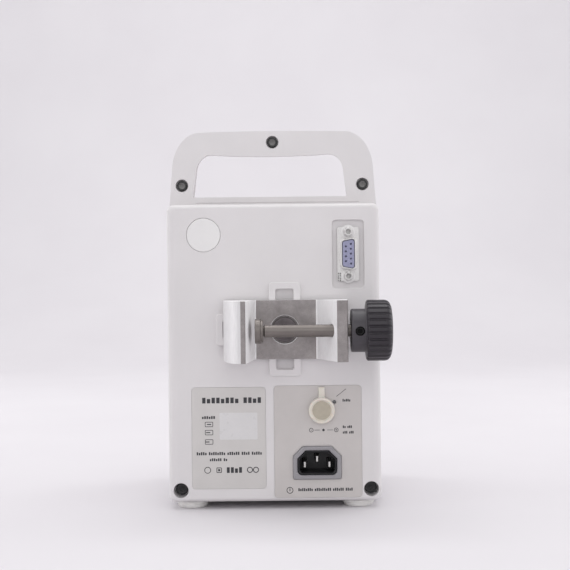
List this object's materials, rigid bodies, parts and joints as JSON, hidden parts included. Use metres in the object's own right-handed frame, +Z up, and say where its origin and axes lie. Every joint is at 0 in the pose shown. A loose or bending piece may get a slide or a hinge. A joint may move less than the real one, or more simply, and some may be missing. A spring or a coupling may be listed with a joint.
{
  "type": "infusion pump with pole clamp",
  "caption": "Portable infusion pump: white housing with a carry handle, front door over the pumping fingers, rear mains and serial ports, and a screw clamp that grips an IV pole.",
  "frame": {"origin": "on the ground plane, under the middle of the whole assembly with its clamp and knob", "axes": "+Z up; +Y to the back, where the clamp and the ports are; -Y to the front, where the keys and the door are; -X to the side of the clamp knob"},
  "size_m": [0.1238, 0.1645, 0.2165],
  "materials": {
    "rear_shell": "fine-textured white ABS",
    "front_shell": "fine-textured white ABS",
    "control_bezel": "fine-textured white ABS",
    "door": "fine-textured white ABS",
    "handle_screw_left": "blackened",
    "handle_screw_right": "blackened",
    "handle_screw_top": "blackened",
    "panel_screw_left": "blackened",
    "panel_screw_right": "blackened",
    "foot_rear_left": "pale soft rubber",
    "foot_rear_right": "pale soft rubber",
    "foot_front_left": "pale soft rubber",
    "foot_front_right": "pale soft rubber",
    "rating_label": "printed film",
    "inlet_label": "printed film",
    "blanking_plug": "satin moulding",
    "serial_port_shell": "nickel plated",
    "serial_port_insert": "moulded",
    "jackscrew_upper": "nickel plated",
    "jackscrew_lower": "nickel plated",
    "mains_inlet_bezel": "satin moulding",
    "mains_inlet_body": "moulded",
    "mains_pin_earth": "nickel plated",
    "mains_pin_live": "nickel plated",
    "mains_pin_neutral": "nickel plated",
    "dc_jack": "moulded",
    "dc_cap": "translucent silicone",
    "reset_button": "moulded",
    "clamp_bracket": "extruded, satin",
    "clamp_bolt": "machined",
    "clamp_rod": "machined",
    "clamp_pad": "machined",
    "clamp_knob": "moulded",
    "knob_grub_screw": "blackened",
    "display_window": "clear over a dark display",
    "key_start": "silicone key",
    "key_stop": "silicone key",
    "key_purge": "silicone key",
    "key_down": "silicone key",
    "key_up": "silicone key",
    "key_menu": "silicone key",
    "door_hinge_pin": "ground",
    "latch_lever": "moulded",
    "door_platen": "ground",
    "bubble_sensor": "moulded",
    "mechanism_frame": "folded sheet",
    "camshaft": "machined",
    "cam_gear": "moulded nylon",
    "motor": "black",
    "motor_pinion": "machined",
    "pump_finger_1": "moulded nylon",
    "pump_finger_2": "moulded nylon",
    "pump_finger_3": "moulded nylon",
    "pump_finger_4": "moulded nylon",
    "pump_finger_5": "moulded nylon",
    "pump_finger_6": "moulded nylon",
    "main_board": "circuit board",
    "power_module": "circuit board",
    "battery_pack": "shrink film"
  },
  "bodies": {
    "housing": {"rear_shell": "rear_shell", "front_shell": "front_shell", "control_bezel": "control_bezel", "handle_screw_left": "handle_screw_left", "handle_screw_right": "handle_screw_right", "handle_screw_top": "handle_screw_top", "panel_screw_left": "panel_screw_left", "panel_screw_right": "panel_screw_right", "foot_rear_left": "foot_rear_left", "foot_rear_right": "foot_rear_right", "foot_front_left": "foot_front_left", "foot_front_right": "foot_front_right", "rating_label": "rating_label", "inlet_label": "inlet_label", "blanking_plug": "blanking_plug", "serial_port_shell": "serial_port_shell", "serial_port_insert": "serial_port_insert", "jackscrew_upper": "jackscrew_upper", "jackscrew_lower": "jackscrew_lower", "mains_inlet_bezel": "mains_inlet_bezel", "mains_inlet_body": "mains_inlet_body", "mains_pin_earth": "mains_pin_earth", "mains_pin_live": "mains_pin_live", "mains_pin_neutral": "mains_pin_neutral", "dc_jack": "dc_jack", "clamp_bracket": "clamp_bracket", "clamp_bolt": "clamp_bolt", "display_window": "display_window", "door_hinge_pin": "door_hinge_pin", "bubble_sensor": "bubble_sensor", "mechanism_frame": "mechanism_frame", "motor": "motor", "main_board": "main_board", "power_module": "power_module", "battery_pack": "battery_pack"},
    "clamp_foot": {"clamp_pad": "clamp_pad"},
    "clamp_screw": {"clamp_rod": "clamp_rod", "clamp_knob": "clamp_knob", "knob_grub_screw": "knob_grub_screw"},
    "door": {"door": "door"},
    "platen": {"door_platen": "door_platen"},
    "latch": {"latch_lever": "latch_lever"},
    "cap": {"dc_cap": "dc_cap"},
    "reset": {"reset_button": "reset_button"},
    "motor_rotor": {"motor_pinion": "motor_pinion"},
    "cam_assembly": {"camshaft": "camshaft", "cam_gear": "cam_gear"},
    "key_start": {"key_start": "key_start"},
    "key_stop": {"key_stop": "key_stop"},
    "key_purge": {"key_purge": "key_purge"},
    "key_down": {"key_down": "key_down"},
    "key_up": {"key_up": "key_up"},
    "key_menu": {"key_menu": "key_menu"},
    "pump_finger_1": {"pump_finger_1": "pump_finger_1"},
    "pump_finger_2": {"pump_finger_2": "pump_finger_2"},
    "pump_finger_3": {"pump_finger_3": "pump_finger_3"},
    "pump_finger_4": {"pump_finger_4": "pump_finger_4"},
    "pump_finger_5": {"pump_finger_5": "pump_finger_5"},
    "pump_finger_6": {"pump_finger_6": "pump_finger_6"}
  },
  "joints": [
    {"name": "screw_advance", "type": "slide", "parent": "housing", "child": "clamp_foot", "axis": [-1, 0, 0], "range_m": [0, 0.03]},
    {"name": "knob_turn", "type": "hinge", "parent": "clamp_foot", "child": "clamp_screw", "pos_m": [0.00175, 0.066, 0.1018], "axis": [-1, 0, 0], "range_deg": [0, 5400]},
    {"name": "door_swing", "type": "hinge", "parent": "housing", "child": "door", "pos_m": [0.05915, -0.0713, 0.0885], "axis": [0, 0, 1], "range_deg": [0, 110]},
    {"name": "latch_pull", "type": "hinge", "parent": "door", "child": "latch", "pos_m": [0.03335, -0.0796, 0.088], "axis": [0, 0, 1], "range_deg": [0, 35], "stiffness_Nm_per_rad": 0.02},
    {"name": "platen_spring", "type": "slide", "parent": "door", "child": "platen", "axis": [0, -1, 0], "range_m": [0, 0.0015], "stiffness_N_per_m": 900},
    {"name": "cap_hinge", "type": "hinge", "parent": "housing", "child": "cap", "pos_m": [-0.02485, 0.0381, 0.0682], "axis": [1, 0, 0], "range_deg": [0, 100], "stiffness_Nm_per_rad": 0.0008},
    {"name": "reset_press", "type": "slide", "parent": "housing", "child": "reset", "axis": [0, -1, 0], "range_m": [0, 0.0005], "stiffness_N_per_m": 300},
    {"name": "motor_turn", "type": "hinge", "parent": "housing", "child": "motor_rotor", "pos_m": [0.03775, -0.0187, 0.06], "axis": [0, 0, 1], "continuous": true},
    {"name": "camshaft_turn", "type": "hinge", "parent": "housing", "child": "cam_assembly", "pos_m": [0.03775, -0.043, 0.083], "axis": [0, 0, 1], "continuous": true},
    {"name": "key_start_press", "type": "slide", "parent": "housing", "child": "key_start", "axis": [0, 1, 0], "range_m": [0, 0.001], "stiffness_N_per_m": 500},
    {"name": "key_stop_press", "type": "slide", "parent": "housing", "child": "key_stop", "axis": [0, 1, 0], "range_m": [0, 0.001], "stiffness_N_per_m": 500},
    {"name": "key_purge_press", "type": "slide", "parent": "housing", "child": "key_purge", "axis": [0, 1, 0], "range_m": [0, 0.001], "stiffness_N_per_m": 500},
    {"name": "key_down_press", "type": "slide", "parent": "housing", "child": "key_down", "axis": [0, 1, 0], "range_m": [0, 0.001], "stiffness_N_per_m": 500},
    {"name": "key_up_press", "type": "slide", "parent": "housing", "child": "key_up", "axis": [0, 1, 0], "range_m": [0, 0.001], "stiffness_N_per_m": 500},
    {"name": "key_menu_press", "type": "slide", "parent": "housing", "child": "key_menu", "axis": [0, 1, 0], "range_m": [0, 0.001], "stiffness_N_per_m": 500},
    {"name": "pump_finger_1_slide", "type": "slide", "parent": "housing", "child": "pump_finger_1", "axis": [0, -1, 0], "range_m": [-0.003, 0]},
    {"name": "pump_finger_2_slide", "type": "slide", "parent": "housing", "child": "pump_finger_2", "axis": [0, -1, 0], "range_m": [-0.00225, 0.00075]},
    {"name": "pump_finger_3_slide", "type": "slide", "parent": "housing", "child": "pump_finger_3", "axis": [0, -1, 0], "range_m": [-0.00075, 0.00225]},
    {"name": "pump_finger_4_slide", "type": "slide", "parent": "housing", "child": "pump_finger_4", "axis": [0, -1, 0], "range_m": [0, 0.003]},
    {"name": "pump_finger_5_slide", "type": "slide", "parent": "housing", "child": "pump_finger_5", "axis": [0, -1, 0], "range_m": [-0.00075, 0.00225]},
    {"name": "pump_finger_6_slide", "type": "slide", "parent": "housing", "child": "pump_finger_6", "axis": [0, -1, 0], "range_m": [-0.00225, 0.00075]}
  ],
  "couplings": [
    {"joint": "knob_turn", "follows": "screw_advance", "rad_per_m": 3141.6},
    {"joint": "camshaft_turn", "follows": "motor_turn", "ratio": -0.33333}
  ]
}
